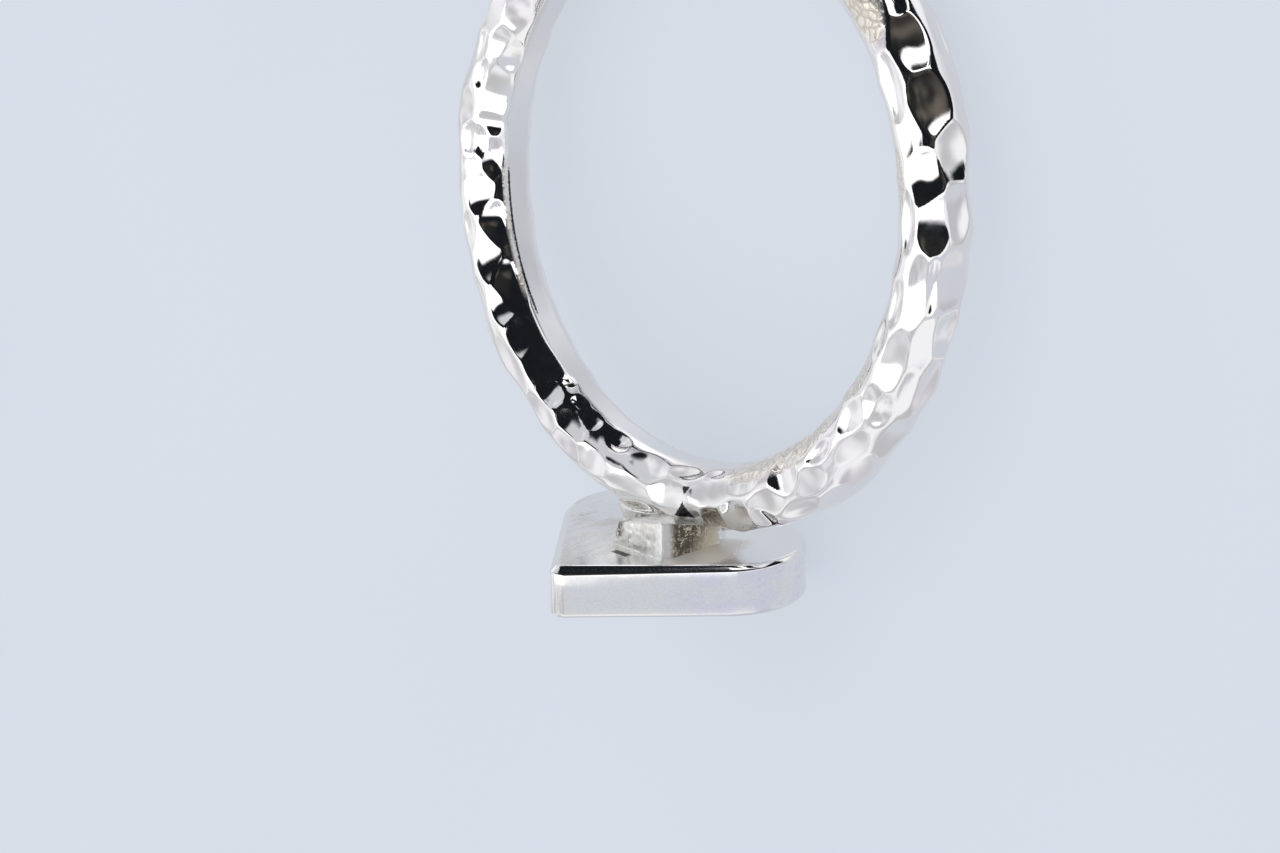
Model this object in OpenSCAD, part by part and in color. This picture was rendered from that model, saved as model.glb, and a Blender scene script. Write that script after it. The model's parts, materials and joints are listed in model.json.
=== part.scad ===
// Heart ring: a hammered round band soldered to the back of a flat heart plate.
// The ring lies on its side, on the heart's two lobes and the far flank of the band,
// with the heart's tip upwards and the heart's face towards -Y.

/* [Finger hole] */
// Inside diameter of the band
finger_d = 17; // [15:0.5:20]

/* [Band] */
// Width of the band along the finger, over the ridges
band_w = 2.44; // [2:0.02:3]
// Thickness of the band outwards from the finger hole, over the ridges
band_t = 2.15; // [1.8:0.05:2.6]
// How much the thickness swells and thins round the band
swell = 0.08; // [0:0.02:0.16]
// Lean of the band from square on the heart, in degrees
band_lean = 6.5; // [0:0.5:8]

/* [Hammering] */
// Depth of the deepest hammer marks
mark_depth = 0.2; // [0:0.02:0.26]
// Length of a hammer mark along the band
mark_length = 1.9; // [1.5:0.1:2.6]
// Width of a hammer mark across the band
mark_width = 1.24; // [1:0.02:1.6]

/* [Heart] */
// Straight side of the heart, from its sharp tip to where a lobe begins
side_length = 5.46; // [5:0.1:6.2]
// Radius of the lobes
lobe_r = 2.53; // [2.3:0.05:3]
// Half of the angle at the tip, in degrees
tip_angle = 42.3; // [38:0.5:46]
// Radius of the rounded tip
tip_r = 0.45; // [0.35:0.05:0.7]
// Thickness of the plate
plate_t = 1.65; // [1.2:0.05:2.2]
// Bevel round the plate's back edge
back_bevel = 0.22; // [0.1:0.02:0.3]
// Bevel round the plate's face edge
face_bevel = 0.1; // [0.06:0.02:0.2]
// How far the tip stands in front of the band's middle plane
tip_reach = 6.63; // [6:0.1:7.2]

/* [Solder neck] */
// Gap between the band and the heart that the neck fills
neck_gap = 0.08; // [0.04:0.02:0.4]
// Width of the squared block
block_w = 2.1; // [1.4:0.1:2.4]
// How far the block lies to the right of the heart's middle line
block_shift = 0.74; // [0:0.02:0.8]
// How far the block stands out towards the tip from the band's middle
block_reach = 2.55; // [1.8:0.05:2.8]
// Height of the block above the plate
block_h = 0.78; // [0.5:0.02:0.9]
// Length of the low pad of solder along the band
pad_length = 3.8; // [2.6:0.1:4.2]

/* [Hidden] */
$fn = 96;

bore_r = finger_d / 2;
// The section is an oval whose inner end lies just inside the hole
sink = 0.06;
half_t = (band_t + sink) / 2;
half_w = band_w / 2;
mid_r = bore_r - sink + half_t;
outer_power = 2 / 2.2;
inner_power = 1;
// Inner corners that close the section inside the hole
core_r = bore_r - 0.35;
core_half_w = 0.4;

// The mesh of the beaten surface
steps_round = 250;
steps_across = 20;
first_angle = 162;

// Rows of hammer marks: angle round the section from the crown, share of the full depth
rows = [[-132, 0.5], [-88, 0.8], [-43, 1], [0, 0.9], [43, 1], [88, 0.8], [132, 0.5]];
row_marks = floor(2 * PI * mid_r / (0.8 * mark_length));

// Repeatable share between -1 and 1 for mark k of row j
function scatter(j, k, m) = 2 * ((((j + 3) * 37 + (k + 5) * 61 + m * 89) * 7919) % 1009) / 1008 - 1;

// Point of the section, [radius, height], at an angle round it; 0 is the crown, 90 the upper flank
function power(x, p) = sign(x) * pow(abs(x), p);
function section(a, extra) =
    let (p = cos(a) > 0 ? outer_power : inner_power, out = cos(a) > 0 ? half_t + extra : half_t)
    [mid_r + out * power(cos(a), p), half_w * power(sin(a), p)];
function swelling(turn) = swell * cos(3 * (turn - 190));

// One hammer mark: [degrees round the band, degrees round the section, half length, half width, depth]
function mark(j, k) =
    let (kk = (k + row_marks) % row_marks, step = 360 / row_marks)
    [(k + (j % 2) / 2 + 0.22 * scatter(j, kk, 1)) * step, rows[j][0] + 9 * scatter(j, kk, 2),
     mark_length / 2 * (1 + 0.2 * scatter(j, kk, 3)), mark_width / 2 * (1 + 0.16 * scatter(j, kk, 4)),
     mark_depth * rows[j][1] * (0.82 + 0.18 * scatter(j, kk, 5))];

// How deep one mark is at a point: a shallow bowl
function bowl(m, turn, p) =
    let (along = (turn - m[0]) * PI / 180 * p[0] / m[2], across = norm(p - section(m[1], 0)) / m[3])
    m[4] * (1 - along * along - across * across);
function beaten(turn, p) =
    max([0, for (j = [0 : len(rows) - 1]) let (k = round(turn * row_marks / 360 - (j % 2) / 2))
        for (n = [-1 : 1]) bowl(mark(j, k + n), turn, p)]);

// Point of the beaten band: the section is pushed in towards its middle by the marks
function band_point(turn, a) =
    let (p = section(a, swelling(turn)), d = beaten(turn, p), c = [mid_r, 0],
         q = p + (c - p) / norm(c - p) * d)
    [q[0] * cos(turn), q[0] * sin(turn), q[1]];
function core_point(turn, side) = [core_r * cos(turn), core_r * sin(turn), side * core_half_w];

ring_size = steps_across + 3;
band_points = [for (i = [0 : steps_round - 1]) let (turn = 360 * i / steps_round) each concat(
    [core_point(turn, -1)],
    [for (j = [0 : steps_across]) band_point(turn, first_angle * (2 * j / steps_across - 1))],
    [core_point(turn, 1)])];
band_faces = [for (i = [0 : steps_round - 1], j = [0 : ring_size - 1])
    let (i2 = (i + 1) % steps_round, j2 = (j + 1) % ring_size,
         a = i * ring_size + j, b = i2 * ring_size + j, c = i2 * ring_size + j2, d = i * ring_size + j2)
    each [[a, c, b], [a, d, c]]];

module hammered_band() {
    color("gainsboro") rotate([-band_lean, 0, 0]) difference() {
        polyhedron(band_points, band_faces, convexity = 6);
        cylinder(r = bore_r, h = 3 * band_w, center = true);
    }
}

// The heart: its middle line runs along Z and its back faces +Y, at back_y
back_y = -(mid_r + half_t) - neck_gap;
face_y = back_y - plate_t;
tip_c = [0, tip_r / sin(tip_angle)];
lobe_c = [side_length * sin(tip_angle) - lobe_r * cos(tip_angle),
          side_length * cos(tip_angle) + lobe_r * sin(tip_angle)];
heart_length = lobe_c[1] + lobe_r;
function flipped(p) = [-p[0], p[1]];
function beside(c, r) = c + r * [cos(tip_angle), -sin(tip_angle)];
// The rounded tip, in short flats from its left side to its right side
tip_steps = 6;
function tip_round(r) = [for (i = [0 : tip_steps])
    let (a = 180 + tip_angle + i * (180 - 2 * tip_angle) / tip_steps) tip_c + r * [cos(a), sin(a)]];
// The tip and straight sides of the heart, drawn in by an inset; the sides end just inside the lobes
side_sink = 0.03;
function middle(inset) =
    let (side = beside(lobe_c, lobe_r - inset - side_sink))
    concat(tip_round(tip_r - inset), [side, lobe_c, [0, lobe_c[1]], flipped(lobe_c), flipped(side)]);

// Levels of the plate from its back to its face: [how far the outline is drawn in, height above the back]
levels = [[back_bevel, 0], [0, back_bevel], [0, plate_t - face_bevel], [face_bevel, plate_t]];
module plate_middle() {
    n = len(middle(0));
    last = n * len(levels) - 1;
    polyhedron([for (v = levels, p = middle(v[0])) [p[0], p[1], v[1]]],
        [[for (i = [0 : n - 1]) i], [for (i = [0 : n - 1]) last - i],
         for (k = [0 : len(levels) - 2], i = [0 : n - 1]) let (low = k * n, high = low + n, j = (i + 1) % n)
             [low + i, high + i, high + j, low + j]]);
}
module lobe() {
    rotate_extrude() polygon(concat([[0, 0]], [for (v = levels) [lobe_r - v[0], v[1]]], [[0, plate_t]]));
}
module heart_plate() {
    color("silver") translate([0, back_y, tip_reach]) rotate([90, 180, 0]) {
        plate_middle();
        for (s = [-1, 1]) translate([s * lobe_c[0], lobe_c[1], 0]) lobe();
    }
}

// The neck: a squared block in front of the band's foot, and a low round-ended pad under the band
foot_z = (mid_r + half_t) * sin(band_lean);
root = 0.1;
pad_w = band_w - 0.6;
pad_h = neck_gap + 0.45;
module solder_neck() {
    top_y = back_y + block_h;
    color("tan") {
        translate([block_shift - block_w / 2, 0, foot_z]) rotate([90, 0, 90]) linear_extrude(block_w)
            polygon([[back_y - root, 0], [back_y - root, block_reach + 0.1], [back_y, block_reach + 0.06],
                     [top_y, block_reach - 0.04], [top_y + 0.1, half_w + 0.1], [top_y + 0.3, half_w - 0.3],
                     [top_y + 0.2, 0]]);
        translate([0, back_y - root, foot_z]) rotate([-90, 0, 0]) linear_extrude(pad_h + root) {
            square([pad_length - pad_w, pad_w], center = true);
            for (s = [-1, 1]) translate([s * (pad_length - pad_w) / 2, 0]) circle(d = pad_w);
        }
    }
}

// Rest: the tilt about X at which the lobes and the band's far flank touch one plane
function leaned(p) = [p[0], p[1] * cos(band_lean) + p[2] * sin(band_lean),
                      p[2] * cos(band_lean) - p[1] * sin(band_lean)];
function tilted(p, a) = [p[0], p[1] * cos(a) - p[2] * sin(a), p[1] * sin(a) + p[2] * cos(a)];
lean_points = [for (p = band_points) leaned(p)];
lobe_foot = [0, face_y + face_bevel, tip_reach - heart_length];
tip_corner = [0, face_y, tip_reach - tip_c[1] + tip_r - face_bevel];
function band_low(a) = min([for (p = lean_points) tilted(p, a)[2]]);
function gap_below(a) = tilted(lobe_foot, a)[2] - band_low(a);
function settle(a, left) =
    left == 0 ? a : settle(a + gap_below(a) / (mid_r - face_y) * 180 / PI, left - 1);
rest_tilt = settle(0, 4);
rest_z = -band_low(rest_tilt);
band_xs = [for (p = lean_points) p[0]];
mid_x = (max(band_xs) + min(band_xs)) / 2;
band_end = max([for (p = lean_points) tilted(p, rest_tilt)[1]]);
mid_y = (band_end + tilted(tip_corner, rest_tilt)[1]) / 2;

module heart_ring() {
    translate([-mid_x, -mid_y, rest_z]) rotate([rest_tilt, 0, 0]) {
        hammered_band();
        heart_plate();
        solder_neck();
    }
}

heart_ring();
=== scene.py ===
"""Heart ring: a hammered silver band soldered by a squared neck to the back of a flat heart plate."""

import json
import math

import bmesh
import bpy
import numpy as np
from bpy.props import FloatProperty, FloatVectorProperty, PointerProperty
from mathutils import Matrix, Vector, noise


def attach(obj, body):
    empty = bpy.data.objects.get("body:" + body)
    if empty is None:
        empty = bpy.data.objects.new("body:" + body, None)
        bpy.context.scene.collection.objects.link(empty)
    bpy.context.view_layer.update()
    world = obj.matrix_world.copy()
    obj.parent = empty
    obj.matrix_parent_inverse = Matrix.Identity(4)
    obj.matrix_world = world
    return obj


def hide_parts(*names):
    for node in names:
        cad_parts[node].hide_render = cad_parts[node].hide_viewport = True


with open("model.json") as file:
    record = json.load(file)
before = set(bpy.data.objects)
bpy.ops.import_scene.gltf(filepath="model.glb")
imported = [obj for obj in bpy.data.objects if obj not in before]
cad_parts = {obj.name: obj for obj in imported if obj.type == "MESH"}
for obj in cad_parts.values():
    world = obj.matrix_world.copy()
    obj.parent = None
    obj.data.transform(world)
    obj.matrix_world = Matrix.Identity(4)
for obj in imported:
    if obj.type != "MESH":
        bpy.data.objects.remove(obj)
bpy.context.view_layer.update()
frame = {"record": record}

bl_info = {
    "name": "Heart Ring",
    "version": (1, 0, 0),
    "blender": (4, 5, 0),
    "location": "3D View > Sidebar > Heart Ring",
    "description": "Builds a hammered silver ring with a flat heart plate",
    "category": "Add Mesh",
}

MM = 0.001

# The ring's own frame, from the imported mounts: right, up from the heart through the band, and out
# of the finger hole towards the heart's tip
MOUNTS = {mount["name"]: mount for mount in frame["record"]["mounts"]}
CENTRE = Vector(MOUNTS["finger_hole"]["pos_m"])
HOLE_AXIS = Vector(MOUNTS["finger_hole"]["axis"]).normalized()
UP = -Vector(MOUNTS["heart_face"]["axis"]).normalized()
RIGHT = Vector((1, 0, 0))
FRONT = RIGHT.cross(UP)
REST_TILT = math.atan2(UP.z, UP.y)
FACE_Y = (Vector(MOUNTS["heart_face"]["pos_m"]) - CENTRE).dot(UP) / MM
HOLE_TILT = -math.atan2(HOLE_AXIS.y, HOLE_AXIS.z)

# Modelling is done in millimetres about the ring's centre; these place it in the row's frame
PLATE_PLACE = Matrix.Translation(CENTRE) @ Matrix.Rotation(REST_TILT, 4, "X") @ Matrix.Scale(MM, 4)
BAND_PLACE = Matrix.Translation(CENTRE) @ Matrix.Rotation(HOLE_TILT, 4, "X") @ Matrix.Scale(MM, 4)

# Hammer marks that show in the photograph, charted: degrees round the band, degrees round
# its section, half of the length in degrees, half of the width in millimetres, share of the depth
CHARTED_MARKS = (
    (406, 55, 4, 0.25, 1), (404, 35, 4, 0.35, 0.99), (396, -22, 5.5, 0.35, 0.97),
    (395.5, 38, 5, 0.55, 0.97), (389, 90, 7, 0.4, 0.95), (385, 35, 5, 0.68, 0.94),
    (385, -30, 5.5, 0.35, 0.94), (381, 74, 5.5, 0.58, 0.5), (376.5, 8, 4.7, 0.6, 0.92),
    (373, 60, 5, 0.58, 1.1), (367.5, 6, 4.7, 0.5, 0.8), (366, 47, 5.2, 0.55, 0.89),
    (365.5, 92, 5.5, 0.3, 0.89), (356, 8, 4.8, 0.6, 0.87), (355, 39, 4.5, 0.22, 0.86),
    (354, 64, 5.8, 0.36, 0.86), (350.5, 97, 4.5, 0.3, 0.7), (347, 0, 3.9, 0.5, 0.75),
    (344, 32, 5, 0.38, 0.6), (342.5, 110, 4, 0.28, 0.6), (340.5, 72, 5.5, 0.42, 0.7),
    (338, 2, 4.5, 0.45, 0.6), (337, 32, 4.5, 0.3, 0.6), (332, 76, 3, 0.35, 0.6),
    (331.5, 55, 3.2, 0.35, 0.7), (327, 12, 4, 0.45, 0.5), (326.5, 92, 4.3, 0.4, 0.7),
    (322, 58, 4, 0.38, 0.45), (318.5, 30, 4, 0.45, 0.45), (315.5, 94, 3.5, 0.25, 0.6),
    (311, 20, 3.5, 0.3, 0.5), (310.5, 68, 3.6, 0.38, 0.45), (305, 96, 3.6, 0.5, 0.85),
    (304.5, 38, 4, 0.3, 0.5), (299, 71, 4, 0.4, 0.45), (296, 51, 2.5, 0.4, 0.6),
    (294, 110, 3.8, 0.32, 0.5), (293, 144, 3, 0.25, 0.35), (290.5, 61, 3.5, 0.5, 0.5),
    (285.5, 135, 2.5, 0.2, 0.3), (284.8, 106, 5.3, 0.42, 0.4), (284.5, 55, 2.6, 0.5, 0.6),
    (283, 16, 5, 0.55, 1.3), (279.5, 55, 3, 0.5, 0.6), (277, 135, 4.3, 0.25, 0.35),
    (273.5, 91, 4.8, 0.55, 0.5), (267, 125, 5, 0.5, 0.4), (264, 78, 5.5, 0.5, 0.45),
    (256, 139, 3.4, 0.32, 0.75), (252.5, 86, 4, 0.45, 0.55), (252.5, 128, 4.2, 0.45, 0.35),
    (247.5, 136, 3.2, 0.35, 0.6), (246, 76, 4, 0.4, 0.6), (245, 113, 4.3, 0.4, 0.7),
    (242.5, 144, 2.3, 0.25, 0.4), (237.5, 152, 2.5, 0.3, 0.3), (237.5, 80, 4.5, 0.4, 0.6),
    (236, 118, 3.3, 0.4, 0.75), (230.5, 131, 5.2, 0.46, 0.7), (226, 78, 6, 0.4, 0.6),
    (222.5, 122, 4.4, 0.45, 0.62), (214.8, 113, 4, 0.48, 0.7), (212, 134, 5.8, 0.52, 1),
    (204, 110, 5.5, 0.5, 0.75), (199.5, 86, 3.8, 0.3, 0.5), (198.5, 133, 4.6, 0.5, 0.95),
    (191.5, 112, 4.5, 0.5, 0.7), (187, 98, 3, 0.5, 0.45), (185, 134, 4.3, 0.35, 0.7),
    (181.5, 93, 3.5, 0.35, 0.6), (181.5, 116, 3.5, 0.3, 0.7), (177.5, 129, 2.7, 0.4, 0.53),
    (175.5, 78, 3.3, 0.4, 0.53), (171, 131, 5.5, 0.45, 0.53), (168, 98, 3, 0.25, 0.52),
    (163.5, 86, 4, 0.25, 0.52), (162.5, 141, 3.5, 0.35, 0.51), (160, 116, 3, 0.35, 0.51),
    (155.5, 86, 5, 0.45, 0.51), (153, 123, 4, 0.5, 0.5),
)

# Patches where the casting skin was left: degrees round the band, degrees round its section, half
# of the length in degrees, half of the width in millimetres, and how rough
SKIN_PATCHES = (
    (405, 88, 7, 0.6, 1.0), (373.5, 118, 6, 0.35, 0.55), (333, 130, 6, 0.4, 0.5),
    (306, 130, 17, 0.45, 0.6), (285.5, 54, 3, 0.4, 0.12),
)

# Three-cornered spots of painted dark reflection of the neck and plate: degrees round the band and round its
# section
DARK_REFLECTION_SPOTS = (
    ((278.0, 89), (275.3, 62), (280.0, 58)),
    ((277.4, 113), (279.8, 113), (278.4, 99)),
)

# Rows of hammer marks for the sides that the photograph doesn't show: degrees round the section and
# share of the full depth
MARK_ROWS = ((-132, 0.5), (-88, 0.8), (-43, 1.0), (0, 0.9), (43, 1.0), (88, 0.8), (132, 0.5))

# How near two places in a mesh have to be to count as one, in millimetres
TOUCH = 1e-4
MERGE = 1e-3

# Tints, stains, painted dark reflections and a painted shadow line on the band
LILAC_SILVER = (0.925, 0.895, 0.915, 1)
CREAM_SILVER = (0.95, 0.925, 0.87, 1)
CRACK_BROWN = (0.25, 0.19, 0.13, 1)
BORE_GREY = (0.86, 0.875, 0.90, 1)
PAINTED_DARK_BLACK = (0.02, 0.02, 0.025, 1)

# Tints and stains on the plate, with a painted contact shade and a painted dark reflection
WARM_SILVER = (0.92, 0.90, 0.86, 1)
LILAC_WALL = (0.88, 0.87, 0.94, 1)
LILAC_SPECK = (0.68, 0.66, 0.74, 1)
CONTACT_SHADE_GREY = (0.42, 0.40, 0.38, 1)
WALL_GRAIN = (0.62, 0.61, 0.60, 1)
BACK_GREY = (0.87, 0.885, 0.90, 1)
SMUDGE_GREY = (0.70, 0.69, 0.64, 1)
REFLECTION_BLACK = (0.03, 0.03, 0.03, 1)

# The solder, what lies on it, and a painted highlight
SOLDER_WARM = (0.83, 0.81, 0.76, 1)
SOLDER_PALE = (0.90, 0.90, 0.88, 1)
SOLDER_TAN = (0.76, 0.68, 0.52, 1)
STREAK_GREY = (0.70, 0.69, 0.66, 1)
GRIT_BROWN = (0.05, 0.04, 0.03, 1)
GRIT_GREY = (0.06, 0.055, 0.05, 1)
HIGHLIGHT_WHITE = (0.96, 0.96, 0.95, 1)

# The studio that the silver reflects
TENT_DIM = (0.55, 0.55, 0.575, 1)
TENT_BRIGHT = (0.95, 0.96, 0.98, 1)
TENT_CALM = (0.63, 0.66, 0.715, 1)
ROOM_BLACK = (0.008, 0.01, 0.013, 1)
ROOM_DARK = (0.02, 0.02, 0.02, 1)
ROOM_BROWN = (0.14, 0.125, 0.105, 1)
CARD_GREY = (0.62, 0.64, 0.67, 1)
CARD_WHITE = (1.5, 1.5, 1.5, 1)
DIFFUSE_WHITE = (1.0, 1.0, 1.0, 1)

# How high the pale tent reaches, in degrees, at each turn from the front towards the right
TENT_EDGE = (
    (-180, 62), (-75, 60), (-54, 54), (-36, 12), (-20, 5), (0, 3), (50, 3),
    (75, 6), (105, 12), (120, 17), (134, 19), (150, 50), (166, 62), (180, 62),
)

# Cards in the studio: first and last turn, lowest and highest rise, softness of the edges, all in
# degrees, and how much of its rise a sloped card loses for each degree of turn
BROWN_CARD = (42, 98, 16, 50, 8)
GREY_CARDS = ((-46, -20, 27, 48, 4), (-60, -34, 27, 55, 4))
CUT_CARD = (8, 46, -40, 9, 2, 0.5)
WHITE_CARDS = (
    (-40, -10, -15, 9, 2), (-14, 14, -15, 16, 2), (57, 110, 45.3, 60, 2, 0.5),
    (30, 62, -11, 1, 2), (84, 166, 57, 76, 3), (-144, -112, 40, 64, 3),
)


def socket_of(value):
    """The socket of a wire, or a plain value as it is."""
    return value.output if isinstance(value, Wire) else value


class Wire:
    """One output of a shader node. Sums, products and the like add Math nodes."""

    def __init__(self, tree, output=None):
        self.tree = tree
        self.output = output

    def node(self, kind, settings=None, sockets=None, out=0):
        """Adds a node: its settings first, then the values or links of its sockets."""
        made = self.tree.nodes.new(kind)
        for name, value in (settings or {}).items():
            if name == "stops":
                made_stops = made.color_ramp.elements
                while len(made_stops) > 1:
                    made_stops.remove(made_stops[0])
                for k, (place, colour) in enumerate(value):
                    stop = made_stops[0] if k == 0 else made_stops.new(place)
                    stop.position = place
                    stop.color = (*colour, 1)
            else:
                setattr(made, name, value)
        for name, value in (sockets or {}).items():
            value = socket_of(value)
            if isinstance(value, bpy.types.NodeSocket):
                self.tree.links.new(value, made.inputs[name])
            else:
                made.inputs[name].default_value = value
        return Wire(self.tree, None if out is None else made.outputs[out])

    def maths(self, operation, *values):
        """Adds a Math node on values and wires."""
        return self.node("ShaderNodeMath", {"operation": operation}, dict(enumerate(values)))

    def __add__(self, other):
        return self.maths("ADD", self, other)

    def __radd__(self, other):
        return self.maths("ADD", other, self)

    def __sub__(self, other):
        return self.maths("SUBTRACT", self, other)

    def __rsub__(self, other):
        return self.maths("SUBTRACT", other, self)

    def __mul__(self, other):
        return self.maths("MULTIPLY", self, other)

    def __rmul__(self, other):
        return self.maths("MULTIPLY", other, self)

    def __truediv__(self, other):
        return self.maths("DIVIDE", self, other)

    def step(self, low, high):
        """Runs smoothly from 0 where this is low to 1 where it is high."""
        if high < low:
            return 1 - self.step(high, low)
        return self.node("ShaderNodeMapRange", {"interpolation_type": "SMOOTHSTEP"},
                         {"Value": self, "From Min": low, "From Max": high})

    def within(self, start, low, high, end):
        """Rises from 0 at the start to 1 where it is low, and falls from 1 where it is high to 0."""
        return self.step(start, low) * self.step(end, high)

    def blend(self, first, second):
        """Mixes two colours by this wire."""
        return self.node("ShaderNodeMix", {"data_type": "RGBA"}, {0: self, 6: first, 7: second}, out=2)

    def along(self, direction):
        """How far this vector reaches along a fixed direction."""
        return self.node("ShaderNodeVectorMath", {"operation": "DOT_PRODUCT"},
                         {0: self, 1: tuple(direction)}, out=1)

    def grain(self, size, detail=2.0, stretch=(1, 1, 1), roughness=0.5, shift=(0, 0, 0)):
        """Noise on this place, with blotches about so many metres across."""
        place = self.node("ShaderNodeMapping", {}, {"Vector": self, "Scale": stretch, "Location": shift})
        return self.node("ShaderNodeTexNoise", {},
                         {"Vector": place, "Scale": 1 / size, "Detail": detail, "Roughness": roughness})


def rgb(colour):
    """A colour with its alpha."""
    return (*colour[:3], 1.0)


def new_material(name):
    """A material with an empty tree, and the wire that its nodes start from."""
    material = bpy.data.materials.new(name)
    material.use_nodes = True
    material.node_tree.nodes.clear()
    return material, Wire(material.node_tree)


def finish_material(start, height=None, **sockets):
    """Adds the metal shader and the output to a material's tree, with its bump where it has any."""
    sockets = {"Metallic": 1.0, **{name.replace("_", " "): value for name, value in sockets.items()}}
    if height is not None:
        sockets["Normal"] = start.node("ShaderNodeBump", {},
                                       {"Strength": 1.0, "Distance": 1.0, "Height": height})
    metal = start.node("ShaderNodeBsdfPrincipled", {}, sockets)
    start.node("ShaderNodeOutputMaterial", {}, {"Surface": metal}, out=None)


def painted(start, name):
    """The attribute that a piece carries under a name."""
    return start.node("ShaderNodeAttribute", {"attribute_name": name}, out="Fac")


def coated(colour, coats):
    """Lays coats over a colour, each with a mask that says where it shows."""
    for mask, coat in coats:
        colour = mask.blend(colour, coat)
    return colour


def ring_axes(start, place):
    """Millimetres to the right, to the front and up from the middle of the hole."""
    offset = start.node("ShaderNodeVectorMath", {"operation": "SUBTRACT"}, {0: place, 1: tuple(CENTRE)})
    return [offset.along(axis) * (1 / MM) for axis in (RIGHT, FRONT, UP)]


class HeartRingBand(bpy.types.PropertyGroup):
    """Sizes of the band and its hammer marks"""

    finger_d: FloatProperty(name="Finger hole", description="Inside diameter of the band",
                            default=17 * MM, subtype="DISTANCE", unit="LENGTH")
    width: FloatProperty(name="Width", description="Width of the band along the finger",
                         default=2.44 * MM, subtype="DISTANCE", unit="LENGTH")
    thickness: FloatProperty(name="Thickness", description="Thickness of the band outwards from the hole",
                             default=2.15 * MM, subtype="DISTANCE", unit="LENGTH")
    swell: FloatProperty(name="Swell", description="How much the thickness swells and thins round the band",
                         default=0.08 * MM, subtype="DISTANCE", unit="LENGTH")
    mark_depth: FloatProperty(name="Mark depth", description="Depth of the deepest hammer marks",
                              default=0.17 * MM, subtype="DISTANCE", unit="LENGTH")
    mark_length: FloatProperty(name="Mark length", description="Length of the hammer marks out of view",
                               default=1.9 * MM, subtype="DISTANCE", unit="LENGTH")
    mark_width: FloatProperty(name="Mark width", description="Width of the hammer marks out of view",
                              default=1.24 * MM, subtype="DISTANCE", unit="LENGTH")


class HeartRingPlate(bpy.types.PropertyGroup):
    """Sizes of the heart plate"""

    side_length: FloatProperty(name="Straight side", description="From the sharp tip to where a lobe begins",
                               default=5.46 * MM, subtype="DISTANCE", unit="LENGTH")
    lobe_r: FloatProperty(name="Lobe radius", description="Radius of the lobes",
                          default=2.53 * MM, subtype="DISTANCE", unit="LENGTH")
    tip_angle: FloatProperty(name="Half tip angle", description="Half of the angle at the tip",
                             default=math.radians(42.3), subtype="ANGLE", unit="ROTATION")
    tip_r: FloatProperty(name="Tip radius", description="Radius of the rounded tip",
                         default=0.45 * MM, subtype="DISTANCE", unit="LENGTH")
    thickness: FloatProperty(name="Thickness", description="Thickness of the plate",
                             default=1.65 * MM, subtype="DISTANCE", unit="LENGTH")
    back_bevel: FloatProperty(name="Back bevel", description="Bevel round the plate's back edge",
                              default=0.22 * MM, subtype="DISTANCE", unit="LENGTH")
    face_bevel: FloatProperty(name="Face bevel", description="Bevel round the plate's face edge",
                              default=0.1 * MM, subtype="DISTANCE", unit="LENGTH")
    tip_reach: FloatProperty(name="Tip reach", description="How far the tip stands in front of the band",
                             default=6.63 * MM, subtype="DISTANCE", unit="LENGTH")


class HeartRingNeck(bpy.types.PropertyGroup):
    """Sizes of the solder between the band and the plate"""

    gap: FloatProperty(name="Gap", description="Gap between the band and the plate that the solder fills",
                       default=0.08 * MM, subtype="DISTANCE", unit="LENGTH")
    block_w: FloatProperty(name="Block width", description="Width of the squared block",
                           default=2.1 * MM, subtype="DISTANCE", unit="LENGTH")
    block_shift: FloatProperty(name="Block shift", description="How far the block lies to the right",
                               default=0.74 * MM, subtype="DISTANCE", unit="LENGTH")
    block_reach: FloatProperty(name="Block reach", description="How far the block stands out to the tip",
                               default=2.55 * MM, subtype="DISTANCE", unit="LENGTH")
    block_h: FloatProperty(name="Block height", description="Height of the block above the plate",
                           default=0.78 * MM, subtype="DISTANCE", unit="LENGTH")


class HeartRingLook(bpy.types.PropertyGroup):
    """Colours of the silver, the solder and the paper"""

    silver: FloatVectorProperty(name="Silver", description="Colour of the polished silver",
                                default=(0.93, 0.925, 0.915), size=3, subtype="COLOR", min=0, max=1)
    solder: FloatVectorProperty(name="Solder", description="Warm colour of the solder and its stains",
                                default=(0.83, 0.77, 0.66), size=3, subtype="COLOR", min=0, max=1)
    paper: FloatVectorProperty(name="Paper", description="Colour of the pale paper under the ring",
                               default=(0.665, 0.71, 0.788), size=3, subtype="COLOR", min=0, max=1)


class HeartRingSettings(bpy.types.PropertyGroup):
    """All settings of the ring, by piece"""

    band: PointerProperty(type=HeartRingBand)
    plate: PointerProperty(type=HeartRingPlate)
    neck: PointerProperty(type=HeartRingNeck)
    look: PointerProperty(type=HeartRingLook)


def deselect():
    """Leaves edit mode and selects nothing."""
    if bpy.context.mode != "OBJECT":
        bpy.ops.object.mode_set(mode="OBJECT")
    bpy.ops.object.select_all(action="DESELECT")


def newest(name):
    """Names the object that was just added."""
    piece = bpy.context.object
    piece.name = name
    piece.data.name = name
    return piece


def make_active(piece):
    """Selects one object alone."""
    deselect()
    piece.select_set(True)
    bpy.context.view_layer.objects.active = piece


def apply_modifier(piece, kind, **settings):
    """Adds a modifier to a piece and applies it."""
    make_active(piece)
    modifier = piece.modifiers.new(kind.title(), kind)
    for name, value in settings.items():
        setattr(modifier, name, value)
    bpy.ops.object.modifier_apply(modifier=modifier.name)


def pick(piece, kind, test):
    """In edit mode, selects only the vertices, edges or faces that pass a test."""
    bpy.ops.mesh.select_mode(type=kind)
    bpy.ops.mesh.select_all(action="DESELECT")
    shell = bmesh.from_edit_mesh(piece.data)
    parts = {"VERT": shell.verts, "EDGE": shell.edges, "FACE": shell.faces}[kind]
    for part in parts:
        if test(part):
            part.select_set(True)
    shell.select_flush_mode()
    bmesh.update_edit_mesh(piece.data)


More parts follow.
